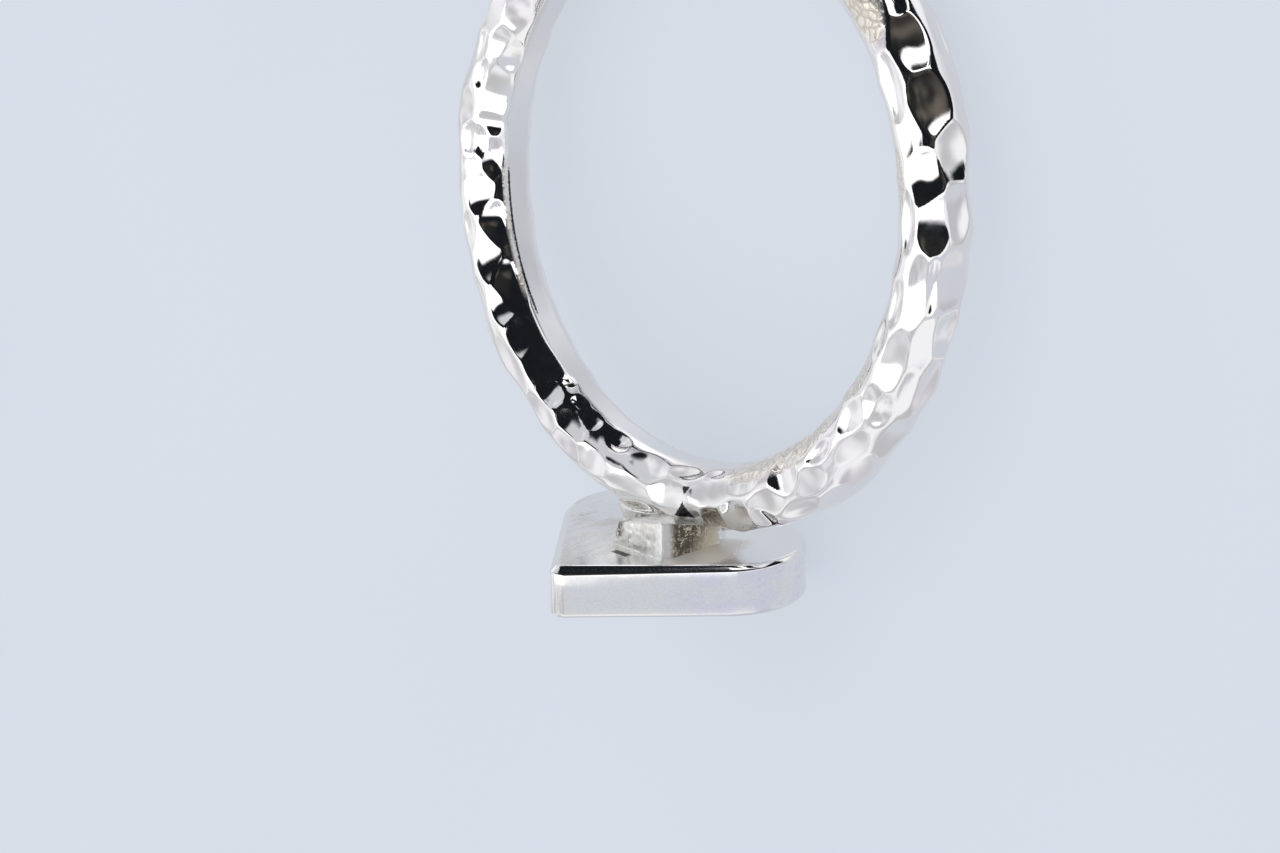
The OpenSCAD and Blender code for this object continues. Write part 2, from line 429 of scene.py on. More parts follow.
def outwards(piece):
    """Turns all faces of a closed piece outwards."""
    make_active(piece)
    bpy.ops.object.mode_set(mode="EDIT")
    bpy.ops.mesh.select_all(action="SELECT")
    bpy.ops.mesh.normals_make_consistent(inside=False)
    bpy.ops.object.mode_set(mode="OBJECT")


def hand_over(piece, material):
    """Gives a finished piece its material, hangs it under the root body and hides the CAD part that it takes
    the place of.
    """
    piece.data.materials.clear()
    piece.data.materials.append(material)
    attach(piece, "root")
    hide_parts("heart_ring")


def ramp(value, start, end):
    """Runs straight from 0 where a value is at its start to 1 where it is at its end."""
    return np.clip((value - start) / (end - start), 0, 1)


def between(value, start, low, high, end):
    """Rises from 0 at the start to 1 where it is low, and falls from 1 where it is high to 0."""
    return ramp(value, start, low) * ramp(value, end, high)


def turned_from(turn, place):
    """Degrees round the band from one place to another, the short way."""
    return (turn - place + 180) % 360 - 180


class BandShape:
    """The band's section and its hammer marks, in millimetres and degrees."""

    # The section is an oval whose inner end lies just inside the hole, and the hole's edge is rounded
    OUTER_POWER = 2 / 2.2
    INNER_POWER = 1.0
    SINK = 0.06
    BORE_ROUND = 0.012

    # Marks are drawn a little larger than charted, are worked out up to this share of their length,
    # and meet in ridges this soft
    GROW = 1.12
    REACH = 1.3
    RIDGE_SOFT = 0.02

    # Marks of the rule: how many lengths lie between them, how far they stray (as a share of that step,
    # in degrees round the section, and as shares of length, width and depth), and how near to a charted
    # mark they may come, as a share of both sizes, squared
    ROW_STEP = 0.8
    STRAY = (0.22, 9, 0.2, 0.16, 0.18)
    ROOM = 0.62

    # The casting skin fades out between these shares of a patch's size. Its crumple has a depth, a size
    # in degrees round the band and the section, and lies sunk by this share of its depth
    SKIN_FADE = (1.15, 0.85)
    CRUMPLE = 0.035
    CRUMPLE_TURN = 2.2
    CRUMPLE_ACROSS = 14
    CRUMPLE_SUNK = 0.6

    # A thin burr stands along part of the hole's edge: its turns, its place and half width in degrees
    # round the section, and its height. Its top is gold, which fades out between the last two turns
    BURR_TURNS = (183, 187, 230, 238)
    BURR_ACROSS = 156
    BURR_WIDE = 4.5
    BURR_HEIGHT = 0.05
    GOLD = 1.5
    GOLD_TOP = (0.6, 0.8)
    GOLD_TURNS = (216, 212)

    # A painted shadow line lies beside the burr, and fades out between two distances from its middle
    SHADOW_LINE_TURNS = (185, 188, 218, 222)
    SHADOW_LINE_ACROSS = 162
    SHADOW_LINE_WIDE = (2.72, 1.02)
    SPOT_SOFT = 0.1

    def __init__(self, sizes):
        self.bore_r = sizes.finger_d / MM / 2
        self.half_t = (sizes.thickness / MM + self.SINK) / 2
        self.half_w = sizes.width / MM / 2
        self.mid_r = self.bore_r - self.SINK + self.half_t
        self.swell = sizes.swell / MM
        self.mark_depth = sizes.mark_depth / MM
        self.mark_length = sizes.mark_length / MM
        self.mark_width = sizes.mark_width / MM

    def section(self, across, extra=0.0):
        """Radius and height of the section; across 0 is the crown and 90 the near flank."""
        c = np.cos(np.radians(across))
        s = np.sin(np.radians(across))
        power = np.where(c > 0, self.OUTER_POWER, self.INNER_POWER)
        out = self.half_t + np.where(c > 0, extra, 0.0)
        radius = self.mid_r + out * np.sign(c) * np.abs(c) ** power
        return radius, self.half_w * np.sign(s) * np.abs(s) ** power

    def swelling(self, turn):
        """The thickness swells and thins three times round the band."""
        return self.swell * np.cos(np.radians(3 * (turn - 190)))

    def stray(self, row, k):
        """How far one mark of the rule strays: repeatable, and within each limit either way."""
        shares = [2 * ((((row + 3) * 37 + (k + 5) * 61 + m * 89) * 7919) % 1009) / 1008 - 1
                  for m in range(1, len(self.STRAY) + 1)]
        return [limit * share for limit, share in zip(self.STRAY, shares)]

    def marks(self):
        """The charted marks, and marks of the rule wherever those leave room."""
        marks = list(CHARTED_MARKS)
        count = math.floor(2 * math.pi * self.mid_r / (self.ROW_STEP * self.mark_length))
        step = 360 / count
        for row, (across, share) in enumerate(MARK_ROWS):
            for k in range(count):
                shift, slide, longer, wider, deeper = self.stray(row, k)
                turn = (k + (row % 2) / 2 + shift) * step
                long = self.mark_length / 2 * (1 + longer)
                wide = self.mark_width / 2 * (1 + wider)
                if self.has_room(turn, across + slide, long, wide):
                    depth = share * (1 - self.STRAY[-1] + deeper)
                    marks.append((turn, across + slide, math.degrees(long / self.mid_r), wide, depth))
        return marks

    def has_room(self, turn, across, long, wide):
        """Whether a mark of the rule keeps clear of every charted mark."""
        r, z = self.section(across)
        for other, place, half_turn, half_wide, _ in CHARTED_MARKS:
            r2, z2 = self.section(place)
            gap = math.radians(turned_from(turn, other)) * self.mid_r
            along = gap / (long + math.radians(half_turn) * self.mid_r)
            over = math.hypot(r - r2, z - z2) / (wide + half_wide)
            if along ** 2 + over ** 2 < self.ROOM:
                return False
        return True

    def beaten(self, turn, across):
        """How deep the hammer marks are at each point: shallow bowls that meet in soft ridges."""
        depth = np.zeros_like(turn)
        r, z = self.section(across)
        soft = self.RIDGE_SOFT
        for place, over, half_turn, half_wide, share in self.marks():
            half_turn *= self.GROW
            half_wide *= self.GROW
            gap = turned_from(turn, place)
            near = np.abs(gap) < half_turn * self.REACH
            r0, z0 = self.section(over)
            u = gap[near] / half_turn
            v = np.hypot(r[near] - r0, z[near] - z0) / half_wide
            bowl = self.mark_depth * share * (1 - u * u - v * v)
            other = depth[near]
            lead = ramp(bowl - other, -soft, soft)
            depth[near] = other * (1 - lead) + bowl * lead + soft * lead * (1 - lead)
        return np.maximum(depth, 0)

    def skin(self, turn, across):
        """How much of the rough casting skin is left at each point."""
        left = np.zeros_like(turn)
        r, z = self.section(across)
        for place, over, half_turn, half_wide, share in SKIN_PATCHES:
            r0, z0 = self.section(over)
            off = np.hypot(turned_from(turn, place) / half_turn, np.hypot(r - r0, z - z0) / half_wide)
            left = np.maximum(left, share * ramp(off, *self.SKIN_FADE))
        return left

    def crumple(self, turn, across, skin):
        """How deep the casting skin is crumpled at each point."""
        depth = np.zeros_like(turn)
        for i in np.flatnonzero(skin > 0):
            spot = Vector((turn[i] / self.CRUMPLE_TURN, across[i] / self.CRUMPLE_ACROSS, 3.0))
            depth[i] = self.CRUMPLE * skin[i] * (self.CRUMPLE_SUNK + noise.fractal(spot, 0.9, 2.0, 3))
        return depth

    def burr(self, turn, across):
        """How high the burr along the hole's edge stands at each point, as a share."""
        off = (across - self.BURR_ACROSS) / self.BURR_WIDE
        return between(turn, *self.BURR_TURNS) * np.exp(-off ** 2)

    def painted_dark(self, turn, across):
        """How much dark reflection and shadow is painted at each point: in the three-cornered spots and in a
        line beside the burr.
        """
        off = np.abs(across - self.SHADOW_LINE_ACROSS)
        left = between(turn, *self.SHADOW_LINE_TURNS) * ramp(off, *self.SHADOW_LINE_WIDE)
        for a, b, c in DARK_REFLECTION_SPOTS:
            whole = (b[0] - a[0]) * (c[1] - a[1]) - (c[0] - a[0]) * (b[1] - a[1])
            share_b = ((turn - a[0]) * (c[1] - a[1]) - (c[0] - a[0]) * (across - a[1])) / whole
            share_c = ((b[0] - a[0]) * (across - a[1]) - (turn - a[0]) * (b[1] - a[1])) / whole
            inside = np.minimum(np.minimum(share_b, share_c), 1 - share_b - share_c)
            left = np.maximum(left, ramp(inside, -self.SPOT_SOFT, self.SPOT_SOFT))
        return left

    def points(self, turn, across):
        """Places of the beaten surface, how rough its skin is, and where it is the smooth bore."""
        extra = self.swelling(turn)
        radius, height = self.section(across, extra)
        ahead = self.section(across + 0.05, extra)
        behind = self.section(across - 0.05, extra)
        dr, dz = ahead[0] - behind[0], ahead[1] - behind[1]
        size = np.hypot(dr, dz)
        skin = self.skin(turn, across)
        burr = self.burr(turn, across)
        depth = self.beaten(turn, across) + self.crumple(turn, across, skin) - self.BURR_HEIGHT * burr
        radius = radius - depth * dz / size
        height = height + depth * dr / size
        over = radius - self.bore_r
        radius = self.bore_r + 0.5 * (over + np.sqrt(over * over + self.BORE_ROUND ** 2))
        angle = np.radians(turn)
        places = np.stack([radius * np.cos(angle), radius * np.sin(angle), height], axis=1)
        gold = self.GOLD * ramp(burr, *self.GOLD_TOP) * ramp(turn, *self.GOLD_TURNS)
        return places, np.maximum(skin, gold), ramp(over, 0.05, 0.01)


def silver_of_band(look):
    """Polished silver with faint warm and lilac tints, rough and tan where the casting skin is left."""
    material, start = new_material("beaten_silver")
    place = start.node("ShaderNodeTexCoord", out="Object")
    skin, bore, painted_dark = [painted(start, name) for name in ("skin", "bore", "painted_dark")]
    tint = place.grain(1.6 * MM).step(0.35, 0.7)
    warm = place.grain(2.7 * MM, shift=(0.3, 0.1, 0.2)).step(0.5, 0.75)
    fine = place.grain(0.12 * MM, 3.0)
    worn = place.grain(0.5 * MM, 3.0).step(0.45, 0.75)
    crack = start.node("ShaderNodeTexVoronoi", {"feature": "DISTANCE_TO_EDGE"},
                       {"Vector": place, "Scale": 1 / (0.3 * MM)})
    crack = 1 - crack.step(0.02, 0.2)
    # Painted dark reflections and the painted shadow line, broken up by fine grain
    painted_dark_mask = (painted_dark + 0.9 * (place.grain(0.05 * MM, 3.0) - 0.5)).step(0.42, 0.58)
    colour = coated(rgb(look.silver), (
        (tint, LILAC_SILVER), (warm * 0.5, CREAM_SILVER), (skin * 0.7, rgb(look.solder)),
        (skin * crack * 0.35, CRACK_BROWN), (bore * 0.7, BORE_GREY), (painted_dark_mask * 0.96, PAINTED_DARK_BLACK),
    ))
    roughness = 0.05 + 0.05 * worn + skin * (0.15 + 0.2 * fine) + 0.24 * bore
    height = 0.0012 * MM * place.grain(0.35 * MM) + skin * (0.012 * MM * fine - 0.012 * MM * crack)
    finish_material(start, height, Base_Color=colour, Roughness=roughness, Metallic=1 - 0.4 * skin)
    return material


class HEARTRING_OT_band(bpy.types.Operator):
    """Spins up the band, beats it all over and smooths its inside"""

    bl_idname = "heart_ring.band"
    bl_label = "Hammered band"

    def execute(self, context):
        settings = context.scene.heart_ring
        shape = BandShape(settings.band)
        deselect()
        bpy.ops.mesh.primitive_torus_add(major_segments=225, minor_segments=27, major_radius=shape.mid_r,
                                         minor_radius=shape.half_t, generate_uvs=False)
        band = newest("hammered_band")
        apply_modifier(band, "SUBSURF", subdivision_type="SIMPLE", levels=2, render_levels=2)
        mesh = band.data
        places = np.empty(len(mesh.vertices) * 3)
        mesh.vertices.foreach_get("co", places)
        x, y, z = places.reshape(-1, 3).T
        turn = np.degrees(np.arctan2(y, x)) % 360
        across = np.degrees(np.arctan2(z, np.hypot(x, y) - shape.mid_r))
        places, skin, bore = shape.points(turn, across)
        mesh.vertices.foreach_set("co", places.ravel())
        # Besides skin and bore, the band carries where dark reflection and a shadow line are painted
        for name, values in (("skin", skin), ("bore", bore), ("painted_dark", shape.painted_dark(turn, across))):
            mesh.attributes.new(name, "FLOAT", "POINT").data.foreach_set("value", values)
        mesh.update()
        mesh.transform(BAND_PLACE)
        outwards(band)
        bpy.ops.object.shade_smooth()
        hand_over(band, silver_of_band(settings.look))
        return {"FINISHED"}


def silver_of_plate(look):
    """Polished on the wall and bevels, satin on the back, with solder stains round the neck."""
    material, start = new_material("plate_silver")
    place = start.node("ShaderNodeTexCoord", out="Object")
    back = start.node("ShaderNodeTexCoord", out="Normal").along(UP).step(0.96, 0.995)
    wall = 1 - back
    x, y, h = ring_axes(start, place)

    # Stain, smudge and a painted dark reflection of the block lie on the back, by their distance to the
    # right and to the front
    cloud = place.grain(0.9 * MM, 3.0)
    fine = place.grain(0.07 * MM, 3.0)
    away = ((x - 2.3) * (x - 2.3) / 0.9 + (y - 2.2) * (y - 2.2) / 3.2) - 1.4 * (cloud - 0.5)
    stain = back * away.step(1.3, 0.3)
    streak = place.grain(0.5 * MM, 3.0, stretch=(1.6, 1, 0.5), shift=(0.1, 0.4, 0.0)).step(0.42, 0.7)
    smudge = back * streak * x.step(0.6, -0.2) * y.step(0.8, 2.2)
    # A small painted dark reflection of the block on the polished back
    dark_reflection_spot = back * x.within(0.15, 0.3, 0.8, 0.95) * y.within(3.95, 4.02, 4.2, 4.28)

    # The wall is lilac to the right, warm in clouds, and grey at its foot, where a contact shade is painted
    lilac = wall * x.step(1.5, 3.4) * cloud.step(0.35, 0.6)
    speck = lilac * place.grain(0.16 * MM).step(0.56, 0.7)
    warm = wall * place.grain(1.3 * MM, shift=(0.4, 0.2, 0.1)).step(0.42, 0.65)
    # A thin painted contact shade along the wall's foot
    foot = (h - FACE_Y).step(0.07, 0.03)

    colour = coated(rgb(look.silver), (
        (warm * 0.5, WARM_SILVER), (lilac, LILAC_WALL), (speck * 0.3, LILAC_SPECK), (foot * 0.6, CONTACT_SHADE_GREY),
        (wall * fine.step(0.46, 0.62) * 0.12, WALL_GRAIN), (back * 0.7, BACK_GREY),
        (smudge * 0.6, SMUDGE_GREY), (stain * 0.6, rgb(look.solder)), (dark_reflection_spot * 0.95, REFLECTION_BLACK),
    ))
    roughness = 0.07 + 0.03 * cloud + back * (0.08 + 0.08 * fine) + 0.15 * smudge + 0.1 * stain
    pits = start.node("ShaderNodeTexVoronoi", {"feature": "F1"}, {"Vector": place, "Scale": 1 / (1.6 * MM)})
    rough_back = 0.0008 * MM * fine + 0.006 * MM * place.grain(0.45 * MM) * (0.2 + smudge)
    height = back * rough_back + 0.003 * MM * place.grain(0.8 * MM) - 0.02 * MM * pits.step(0.05, 0.03)
    finish_material(start, height, Base_Color=colour, Roughness=roughness,
                    Metallic=1 - 0.6 * stain - 0.3 * smudge)
    return material


def spun_point(piece, tip, centre, angle, steps):
    """Spins the outline's last vertex round a centre, and returns where it ends."""
    pick(piece, "VERT", lambda v: (v.co.xy - tip).length < TOUCH)
    bpy.ops.mesh.spin(steps=steps, angle=-angle, center=(*centre, 0), axis=(0, 0, 1))
    return centre + Matrix.Rotation(angle, 2) @ (tip - centre)


class HEARTRING_OT_plate(bpy.types.Operator):
    """Draws half of the heart, mirrors and thickens it, and bevels its edges"""

    bl_idname = "heart_ring.plate"
    bl_label = "Heart plate"

    # Flats round the tip and round a lobe
    TIP_STEPS = 12
    LOBE_STEPS = 48

    # The back bevel loses this share of its width along the near side. It stays whole up to the first
    # distance from the tip, and narrows fully only beyond the second distance from the middle line
    BEVEL_LOSS = 0.5
    WHOLE_TO = 0.3
    FULL_LOSS_FROM = 0.5

    # How far both faces are inset to hold their edges, and how wide all edges are rounded
    INSET = 0.08
    EDGE_ROUND = 0.05

    def execute(self, context):
        settings = context.scene.heart_ring
        sizes = settings.plate
        half = sizes.tip_angle
        tip_r, lobe_r = sizes.tip_r / MM, sizes.lobe_r / MM
        side, thick = sizes.side_length / MM, sizes.thickness / MM
        bevel = sizes.back_bevel / MM
        beside = Vector((math.cos(half), -math.sin(half)))
        tip_c = Vector((0, tip_r / math.sin(half)))
        lobe_c = Vector((side * math.sin(half), side * math.cos(half))) - lobe_r * beside
        plate = self.outline(half, tip_c, tip_r, lobe_c, lobe_r, beside)
        apply_modifier(plate, "MIRROR", merge_threshold=MERGE)
        bpy.ops.object.mode_set(mode="EDIT")
        bpy.ops.mesh.select_all(action="SELECT")
        bpy.ops.mesh.remove_doubles(threshold=MERGE)
        bpy.ops.mesh.edge_face_add()
        bpy.ops.mesh.extrude_region_move(TRANSFORM_OT_translate={"value": (0, 0, thick)})
        bpy.ops.mesh.select_all(action="SELECT")
        bpy.ops.mesh.normals_make_consistent(inside=False)
        pick(plate, "EDGE", lambda e: all(v.co.z < TOUCH for v in e.verts))
        bpy.ops.mesh.bevel(offset=bevel, segments=1, affect="EDGES")
        pick(plate, "EDGE", lambda e: all(v.co.z > thick - TOUCH for v in e.verts))
        bpy.ops.mesh.bevel(offset=sizes.face_bevel / MM, segments=1, affect="EDGES")
        bpy.ops.object.mode_set(mode="OBJECT")
        self.narrow_bevel(plate, lobe_c, beside, bevel)
        bpy.ops.object.mode_set(mode="EDIT")
        pick(plate, "FACE", lambda f: abs(f.normal.z) > 0.99)
        bpy.ops.mesh.inset(thickness=self.INSET)
        bpy.ops.object.mode_set(mode="OBJECT")
        apply_modifier(plate, "BEVEL", width=self.EDGE_ROUND, segments=3, limit_method="ANGLE",
                       angle_limit=math.radians(25))
        back = -(settings.band.finger_d / 2 + settings.band.thickness + settings.neck.gap) / MM
        lie = Matrix(((-1, 0, 0, 0), (0, 0, -1, back), (0, -1, 0, sizes.tip_reach / MM), (0, 0, 0, 1)))
        plate.data.transform(PLATE_PLACE @ lie)
        outwards(plate)
        bpy.ops.object.shade_smooth_by_angle(angle=math.radians(30))
        hand_over(plate, silver_of_plate(settings.look))
        return {"FINISHED"}

    def outline(self, half, tip_c, tip_r, lobe_c, lobe_r, beside):
        """Half of the heart's outline: the rounded tip, the straight side and a lobe to the cleft."""
        deselect()
        bpy.ops.mesh.primitive_plane_add(size=1)
        plate = newest("heart_plate")
        bpy.ops.object.mode_set(mode="EDIT")
        bpy.ops.mesh.select_all(action="SELECT")
        bpy.ops.mesh.merge(type="CENTER")
        end = Vector((0, tip_c.y - tip_r))
        bpy.ops.transform.translate(value=(0, end.y, 0))
        end = spun_point(plate, end, tip_c, math.pi / 2 - half, self.TIP_STEPS)
        pick(plate, "VERT", lambda v: (v.co.xy - end).length < TOUCH)
        along = lobe_c + lobe_r * beside - end
        bpy.ops.mesh.extrude_region_move(TRANSFORM_OT_translate={"value": (*along, 0)})
        cleft = math.acos(-lobe_c.x / lobe_r)
        spun_point(plate, end + along, lobe_c, half + cleft, self.LOBE_STEPS)
        bpy.ops.object.mode_set(mode="OBJECT")
        return plate

    def narrow_bevel(self, plate, lobe_c, beside, bevel):
        """Narrows the back bevel along the near side, from its full width at the tip."""
        along = Vector((-beside.y, beside.x))
        for v in plate.data.vertices:
            if v.co.z > bevel + MERGE or v.co.x > 0:
                continue
            spot = Vector((-v.co.x, v.co.y))
            share = min(max(spot.y - self.WHOLE_TO, 0) / lobe_c.y, 1) * min(spot.x / self.FULL_LOSS_FROM, 1)
            less = self.BEVEL_LOSS * bevel * share
            if v.co.z > MERGE:
                v.co.z -= less
                continue
            off = spot - lobe_c
            out = beside if off.dot(along) < 0 else off.normalized()
            v.co.x -= less * out.x
            v.co.y += less * out.y


def solder_of_neck(thick):
    """Solder: satin and warm grey in front, dark and grainy on the right, crinkled and painted white as a
    highlight at the front right corner.
    """
    material, start = new_material("neck_solder")
    place = start.node("ShaderNodeTexCoord", out="Object")
    normal = start.node("ShaderNodeTexCoord", out="Normal")
    x, y, h = ring_axes(start, place)
    h = h - FACE_Y - thick

    # The block's right face, its top, its front right corner, which is crinkled and carries a painted
    # highlight, and its left end
    right = normal.along(RIGHT).step(0.45, 0.8) * y.step(1.0, 1.6) * x.step(1.2, 1.5)
    top = normal.along(UP).step(0.55, 0.85)
    highlight_corner = x.step(1.55, 1.75) * y.step(3.1, 3.45)
    left = x.step(0.34, 0.05) * y.step(3.1, 3.4) * h.step(0.22, 0.38)

    fine = place.grain(0.05 * MM, 4.0, roughness=0.75)
    blotch = place.grain(0.14 * MM, 3.0, shift=(0.2, 0.1, 0.3))
    streak = place.grain(0.1 * MM, stretch=(1, 0.15, 1)).step(0.4, 0.6) * y.step(3.2, 3.5)
    cloud = place.grain(0.4 * MM, 3.0)
    grit = (fine + 0.7 * (blotch - 0.5)).step(0.64, 0.52)
    dark = right * grit * (y + 0.6 * h).step(1.6, 2.8)
    # The front right corner is painted white as a highlight
    colour = coated(SOLDER_WARM, (
        (cloud.step(0.35, 0.65), SOLDER_PALE), (right * 0.85, SOLDER_TAN), (streak * 0.5, STREAK_GREY),
        (dark * 0.92, GRIT_BROWN), (highlight_corner * 0.8, HIGHLIGHT_WHITE), (left * grit * 0.95, GRIT_GREY),
    ))
    roughness = 0.2 + 0.12 * fine + 0.15 * right - 0.1 * highlight_corner
    height = 0.008 * MM * (1.4 * right + 0.3 * top + 2 * highlight_corner) * fine + 0.004 * MM * cloud
    finish_material(start, height, Base_Color=colour, Roughness=roughness, Metallic=0.7)
    return material


class HEARTRING_OT_neck(bpy.types.Operator):
    """Melts a block, low pads and a heel of solder between the band and the plate"""

    bl_idname = "heart_ring.neck"
    bl_label = "Solder neck"

    # Voxels of the two meltings, and how often each is smoothed
    FOOT_GRAIN = 0.05
    FOOT_MELT = 30
    BLOCK_GRAIN = 0.045
    BLOCK_MELT = 5

    # The low pads under the band: how far they keep inside its width, and rise above the gap
    PAD_IN = 0.6
    PAD_RISE = 0.4

    # The heel is the lowest piece of the band itself, thinner and a little wider, between two sides
    # and from this share of the middle radius down
    HEEL_THINNER = 0.24
    HEEL_WIDER = 1.12
    HEEL_SIDES = (-2.4, 2.8)
    HEEL_DEPTH = 0.94

    # The block is cast this much over size, and its top is pulled in on the left, raised at the front
    # right corner and lowered at the back. It stands this much further right and lower than measured
    CAST_OVER = 0.15
    BLOCK_TAPER = 0.95
    BLOCK_RIGHT = 0.1
    BLOCK_LOWER = 0.06
    LEFT_IN = 0.22
    CORNER_UP = 0.42
    BACK_DOWN = 0.25

    # Crinkles of the melted solder
    CRINKLE_SIZE = 0.24
    CRINKLE_DEPTH = 0.045

    def execute(self, context):
        settings = context.scene.heart_ring
        sizes = settings.neck
        shape = BandShape(settings.band)
        outer = shape.mid_r + shape.half_t
        back = -outer - sizes.gap / MM
        lean = REST_TILT - HOLE_TILT
        foot_z = outer * math.sin(lean)
        pad_w = 2 * shape.half_w - self.PAD_IN
        pad_h = sizes.gap / MM + self.PAD_RISE
        deselect()
        foot = self.melt([
            self.lump("slab", (0.2, back - 0.25, foot_z), (5.0, 0.4, 4.6), ends=True),
            self.lump("slab", (0.55, back - 0.25, foot_z + 1.2), (2.9, 0.4, 3.6)),
            self.lump("pad", (0.85, back + pad_h / 2 - 0.05, foot_z), (1.8, pad_h, pad_w), 0.8, True),
            self.lump("pad", (-1.15, back + 0.26, foot_z), (1.7, 0.66, 1.5), 1.35, True),
            self.heel(shape, lean),
        ], self.FOOT_GRAIN, self.FOOT_MELT)
        block = self.block(sizes, back, foot_z)
        neck = self.melt([block, foot], self.BLOCK_GRAIN, self.BLOCK_MELT)
        neck.name = neck.data.name = "solder_neck"
        clouds = bpy.data.textures.new("crinkle", "CLOUDS")
        clouds.noise_scale = self.CRINKLE_SIZE
        clouds.noise_depth = 2
        apply_modifier(neck, "DISPLACE", texture=clouds, texture_coords="LOCAL",
                       strength=self.CRINKLE_DEPTH, mid_level=0.5)
        neck.data.transform(PLATE_PLACE)
        outwards(neck)
        bpy.ops.object.shade_smooth()
        hand_over(neck, solder_of_neck(settings.plate.thickness / MM))
        return {"FINISHED"}

    def lump(self, name, middle, size, taper=1.0, ends=False):
        """A block or, with round ends, a disc, whose top is a share of its foot."""
        if ends:
            bpy.ops.mesh.primitive_cylinder_add(vertices=32, radius=0.5, depth=1,
                                                rotation=(math.pi / 2, 0, 0))
            bpy.ops.object.transform_apply(location=False, rotation=True, scale=False)
        else:
            bpy.ops.mesh.primitive_cube_add(size=1)
        made = newest(name)
        made.data.transform(Matrix.Diagonal((*size, 1)))
        for v in made.data.vertices:
            if v.co.y > 0:
                v.co.x *= taper
                v.co.z *= taper
        made.data.transform(Matrix.Translation(middle))
        return made

    def heel(self, shape, lean):
        """The solder right under the band, which follows its curve."""
        bpy.ops.mesh.primitive_torus_add(major_segments=120, minor_segments=24, major_radius=shape.mid_r,
                                         minor_radius=shape.half_t - self.HEEL_THINNER, generate_uvs=False)
        heel = newest("heel")
        left, right = self.HEEL_SIDES
        top = -shape.mid_r * self.HEEL_DEPTH
        bpy.ops.object.mode_set(mode="EDIT")
        pick(heel, "VERT", lambda v: v.co.y > top or not left <= v.co.x <= right)
        bpy.ops.mesh.delete(type="VERT")
        bpy.ops.mesh.select_all(action="SELECT")
        bpy.ops.mesh.fill_holes(sides=0)
        bpy.ops.object.mode_set(mode="OBJECT")
        wider = Matrix.Diagonal((1, 1, self.HEEL_WIDER, 1))
        heel.data.transform(Matrix.Rotation(-lean, 4, "X") @ wider)
        return heel

    def block(self, sizes, back, foot_z):
        """The squared block in front of the band's foot."""
        height = sizes.block_h / MM
        reach = sizes.block_reach / MM
        width = sizes.block_w / MM + self.CAST_OVER
        size = (width, height + self.CAST_OVER, reach)
        block = self.lump("block", (0, 0, 0), size, self.BLOCK_TAPER)
        for v in block.data.vertices:
            if v.co.y > 0:
                left, ahead = v.co.x < 0, v.co.z > 0
                v.co.x += self.LEFT_IN if left else 0
                if not ahead:
                    v.co.y -= self.BACK_DOWN
                elif not left:
                    v.co.y += self.CORNER_UP
        x = sizes.block_shift / MM + self.BLOCK_RIGHT
        y = back + height / 2 - self.BLOCK_LOWER
        block.data.transform(Matrix.Translation((x, y, foot_z + reach / 2)))
        return block

    def melt(self, lumps, grain, softness):
        """Joins lumps into one and rounds them into each other."""
        deselect()
        for piece in lumps:
            piece.select_set(True)
        bpy.context.view_layer.objects.active = lumps[0]
        bpy.ops.object.join()
        whole = bpy.context.object
        apply_modifier(whole, "REMESH", mode="VOXEL", voxel_size=grain)
        apply_modifier(whole, "SMOOTH", factor=0.5, iterations=softness)
        return whole


def studio_world(scene, look):
    """A pale tent round the front, a dark room above and to the back, and white cards low in front."""
    world = bpy.data.worlds.new("studio")
    scene.world = world
    world.use_nodes = True
    world.node_tree.nodes.clear()
    start = Wire(world.node_tree)
    ray = start.node("ShaderNodeTexCoord", out="Generated")
    around = start.maths("ARCTAN2", ray.along(RIGHT), ray.along(FRONT)) * (180 / math.pi)
    rise = start.maths("ARCSINE", ray.along(UP)) * (180 / math.pi)

    def card(low, high, bottom, top, soft, slope=0.0):
        """Where one card of the studio is."""
        middle = (low + high) / 2
        off = start.maths("ABSOLUTE", around - middle)
        side = (off - (high - low) / 2).step(soft, -soft)
        level = rise + slope * (around - middle) if slope else rise
        return side * level.within(bottom - soft, bottom + soft, top - soft, top + soft)

    def widest(masks):
        """Where any of some masks is."""
        whole = masks[0]
        for mask in masks[1:]:
            whole = start.maths("MAXIMUM", whole, mask)
        return whole

    stops = [((turn + 180) / 360, (height / 90,) * 3) for turn, height in TENT_EDGE]
    edge = 90 * start.node("ShaderNodeValToRGB", {"stops": stops}, {"Fac": (around + 180) / 360})
    room = (rise - edge).step(-2, 2)
    belt = around.step(34, 45) * rise.within(-33, -26, -12, -7)
    behind = (around.step(140, 158) + around.step(-100, -118)) * rise.step(34, 26)
    tent = ray.grain(0.55).step(0.36, 0.62).blend(TENT_DIM, TENT_BRIGHT)
    brown = ray.grain(0.35, 1.0).step(0.38, 0.62).blend(ROOM_DARK, ROOM_BROWN)
    cut = card(*CUT_CARD) * rise.step(-17, -13)
    whites = widest([cut] + [card(*size) for size in WHITE_CARDS])
    light = coated(tent, (
        (widest([belt, behind]), TENT_CALM), (room, ROOM_BLACK), (card(*BROWN_CARD), brown),
        (widest([card(*size) for size in GREY_CARDS]), CARD_GREY), (whites, CARD_WHITE),
    ))
    glossy = start.node("ShaderNodeLightPath", out="Is Glossy Ray")
    camera = start.node("ShaderNodeLightPath", out="Is Camera Ray")
    light = camera.blend(glossy.blend(DIFFUSE_WHITE, light), rgb(look.paper))
    background = start.node("ShaderNodeBackground", {}, {"Color": light, "Strength": 1.0})
    start.node("ShaderNodeOutputWorld", {}, {"Surface": background}, out=None)


def bench(x, y, z):
    """A direction in the row's frame from one on the bench: right, to the back, and up."""
    return x * RIGHT + z * UP - y * FRONT


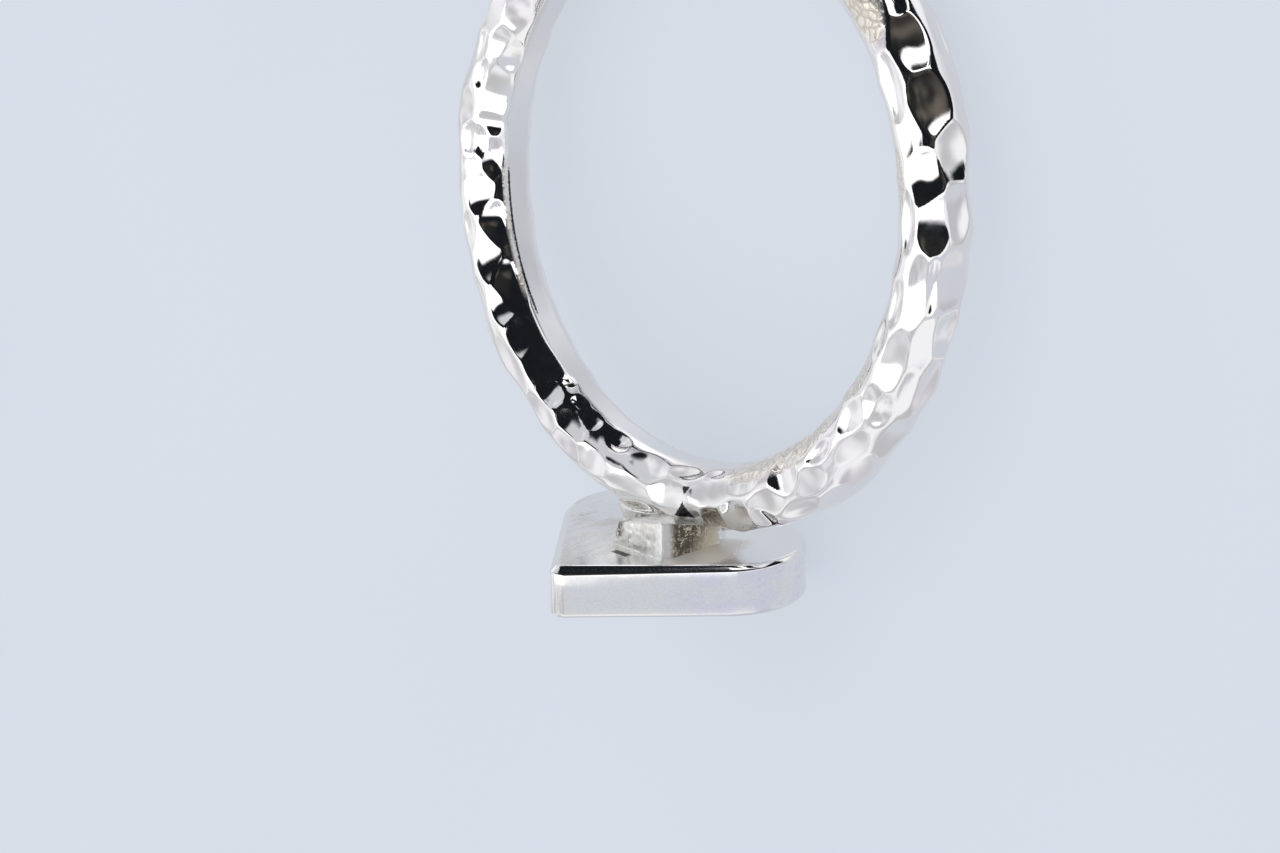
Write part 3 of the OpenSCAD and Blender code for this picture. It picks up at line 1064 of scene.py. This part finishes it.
class HEARTRING_OT_stage(bpy.types.Operator):
    """Lays the pale paper, lights the studio and sets the camera at the photograph's angle"""

    bl_idname = "heart_ring.stage"
    bl_label = "Stage"

    # The paper's own shade and glow, as shares of its colour, and its size in metres
    PAPER_SHADES = (0.3, 0.29)
    PAPER_GLOW = 0.74
    PAPER_SIZE = 6

    # The camera: which way its back and its right side point on the bench, its focal length, and how
    # many millimetres it stands behind, to the right of and above the middle of the hole
    CAMERA_BACK = (0.68648, -0.65574, 0.31424)
    CAMERA_RIGHT = (0.69073, 0.72311, 0)
    CAMERA_LENS = 140.625
    CAMERA_OFF = (152.709, -2.016, -7.325)

    def execute(self, context):
        scene = context.scene
        look = scene.heart_ring.look
        scene.view_settings.view_transform = "Standard"
        deselect()
        self.lay_paper(look)
        studio_world(scene, look)
        self.set_camera(scene)
        return {"FINISHED"}

    def lay_paper(self, look):
        """The pale paper, which glows a little and doesn't show in the silver."""
        bpy.ops.mesh.primitive_plane_add(size=self.PAPER_SIZE, location=(0, 0, 0))
        paper = newest("paper")
        material, start = new_material("paper")
        place = start.node("ShaderNodeTexCoord", out="Object")
        fade = place.grain(0.02, 1.0).step(0.3, 0.7)
        shades = [rgb([shade * c for c in look.paper]) for shade in self.PAPER_SHADES]
        glow = rgb([self.PAPER_GLOW * c for c in look.paper])
        finish_material(start, Base_Color=fade.blend(*shades), Metallic=0.0, Roughness=0.9,
                        Specular_IOR_Level=0.0, Emission_Color=glow, Emission_Strength=1.0)
        paper.data.materials.append(material)
        paper.visible_glossy = False

    def set_camera(self, scene):
        """The camera, from where the photograph was taken."""
        lens = bpy.data.cameras.new("camera")
        lens.sensor_width = 36
        lens.lens = self.CAMERA_LENS
        lens.clip_start = 0.01
        lens.clip_end = 10
        camera = bpy.data.objects.new("camera", lens)
        scene.collection.objects.link(camera)
        scene.camera = camera
        back = bench(*self.CAMERA_BACK)
        right = bench(*self.CAMERA_RIGHT)
        up = back.cross(right)
        off_back, off_right, off_up = self.CAMERA_OFF
        place = CENTRE + MM * (off_back * back + off_right * right + off_up * up)
        turn = Matrix((right, up, back)).transposed().to_4x4()
        camera.matrix_world = Matrix.Translation(place) @ turn


class HEARTRING_PT_panel(bpy.types.Panel):
    """Lists the settings of each piece and its operator"""

    bl_idname = "HEARTRING_PT_panel"
    bl_label = "Heart Ring"
    bl_space_type = "VIEW_3D"
    bl_region_type = "UI"
    bl_category = "Heart Ring"

    def draw(self, context):
        settings = context.scene.heart_ring
        for title, group, operator in (
            ("Band", settings.band, "heart_ring.band"), ("Plate", settings.plate, "heart_ring.plate"),
            ("Neck", settings.neck, "heart_ring.neck"), ("Look", settings.look, "heart_ring.stage"),
        ):
            box = self.layout.box()
            box.label(text=title)
            for name in group.__annotations__:
                box.prop(group, name)
            box.operator(operator)


CLASSES = (HeartRingBand, HeartRingPlate, HeartRingNeck, HeartRingLook, HeartRingSettings,
           HEARTRING_OT_band, HEARTRING_OT_plate, HEARTRING_OT_neck, HEARTRING_OT_stage, HEARTRING_PT_panel)


def register():
    """Registers the classes and the settings."""
    for kind in CLASSES:
        bpy.utils.register_class(kind)
    bpy.types.Scene.heart_ring = PointerProperty(type=HeartRingSettings)


def unregister():
    """Takes the settings and the classes away again."""
    del bpy.types.Scene.heart_ring
    for kind in reversed(CLASSES):
        bpy.utils.unregister_class(kind)


def main():
    """Builds the stage and the ring."""
    register()
    bpy.ops.heart_ring.stage()
    bpy.ops.heart_ring.band()
    bpy.ops.heart_ring.plate()
    bpy.ops.heart_ring.neck()


if __name__ == "__main__":
    main()
